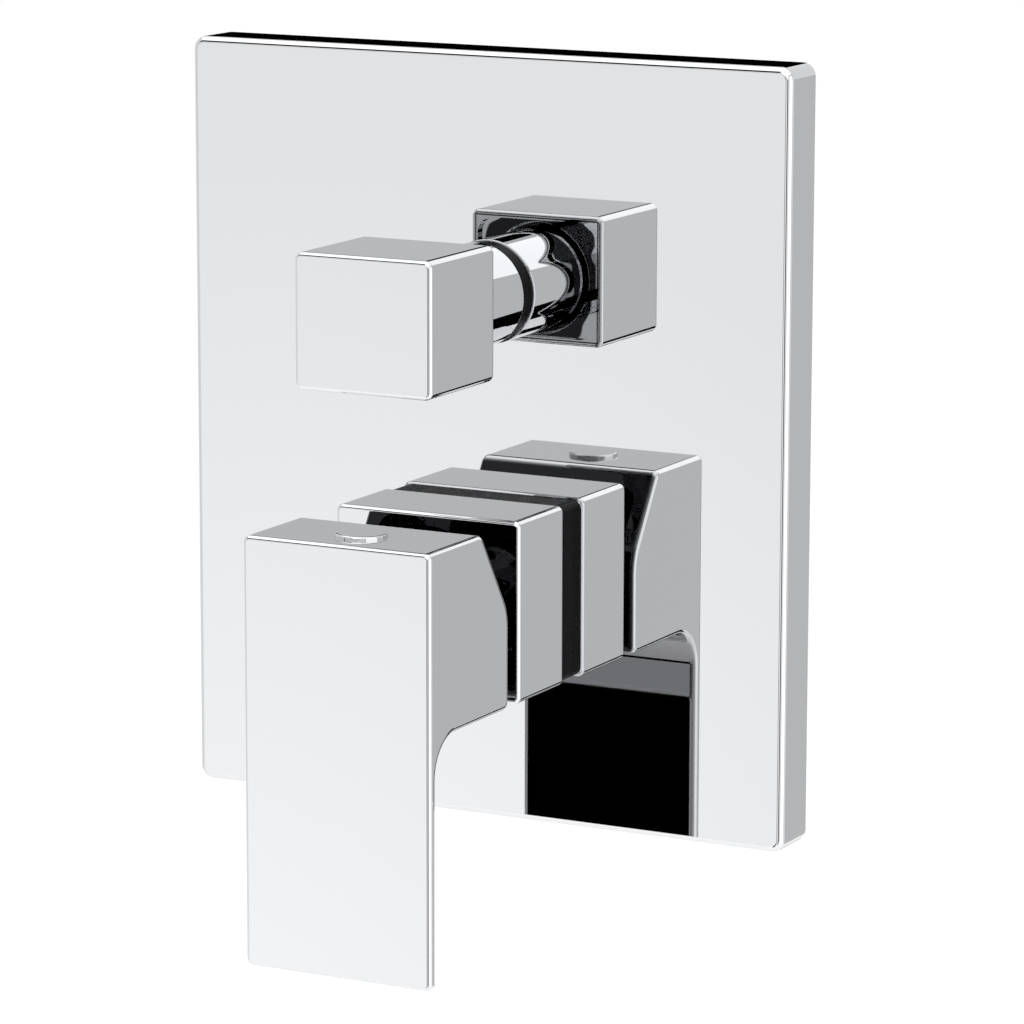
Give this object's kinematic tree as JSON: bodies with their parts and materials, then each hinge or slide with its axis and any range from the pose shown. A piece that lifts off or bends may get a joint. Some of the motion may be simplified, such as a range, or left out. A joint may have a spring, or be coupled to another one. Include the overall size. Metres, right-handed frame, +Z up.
{
  "type": "concealed shower mixer with diverter",
  "caption": "Wall plate with a square lever that sets flow and temperature and a cube knob that diverts the water, on an in-wall valve body.",
  "frame": {"origin": "centre of the face plate's rim on the finished wall", "axes": "+X to the right as seen by the user, +Y into the wall, +Z up"},
  "size_m": [0.15, 0.1185, 0.1955],
  "materials": {
    "polished_chrome": "polished",
    "cast_brass": "matte",
    "turned_brass": "satin",
    "black_rubber": "matte",
    "grey_foam": "matte",
    "grey_plastic": "matte",
    "white_plastic": "satin",
    "white_ceramic": "polished",
    "steel": "satin"
  },
  "bodies": {
    "mixer_body": {"face_plate": "polished_chrome", "plate_seal": "grey_foam", "valve_body": "cast_brass", "cartridge_base": "grey_plastic", "port_seals": "black_rubber", "fixed_disc": "white_ceramic", "cartridge_shell": "grey_plastic", "cartridge_nut": "turned_brass", "bonnet": "polished_chrome", "sleeve_o_rings": "black_rubber", "sleeve": "polished_chrome", "sleeve_gasket": "black_rubber", "diverter_seal": "black_rubber", "diverter_fixed_disc": "white_ceramic", "diverter_housing": "turned_brass", "diverter_nut": "turned_brass", "neck_seal": "black_rubber", "diverter_neck": "polished_chrome"},
    "rotor_body": {"rotor": "white_plastic", "spindle_pin": "steel"},
    "lever_body": {"spindle": "turned_brass", "lever": "polished_chrome", "lever_screw": "steel", "lever_plug": "polished_chrome"},
    "disc_body": {"disc_carrier": "white_plastic", "moving_disc": "white_ceramic"},
    "knob_body": {"diverter_knob": "polished_chrome", "knob_screw": "steel", "diverter_spindle": "turned_brass", "diverter_moving_disc": "white_ceramic", "diverter_o_ring": "black_rubber", "diverter_circlip": "steel"}
  },
  "joints": [
    {"name": "temperature_swing", "type": "hinge", "parent": "mixer_body", "child": "rotor_body", "pos_m": [0, 0, -0.033], "axis": [0, 1, 0], "range_deg": [-45, 45]},
    {"name": "lever_lift", "type": "hinge", "parent": "rotor_body", "child": "lever_body", "pos_m": [0, -0.025, -0.033], "axis": [-1, 0, 0], "range_deg": [0, 25]},
    {"name": "disc_slide", "type": "slide", "parent": "rotor_body", "child": "disc_body", "axis": [0, 0, -1], "range_m": [0, 0.00393]},
    {"name": "diverter_turn", "type": "hinge", "parent": "mixer_body", "child": "knob_body", "pos_m": [0, 0, 0.033], "axis": [0, 1, 0], "range_deg": [0, 90]}
  ],
  "couplings": [
    {"joint": "disc_slide", "follows": "lever_lift", "m_per_rad": 0.0089593}
  ]
}
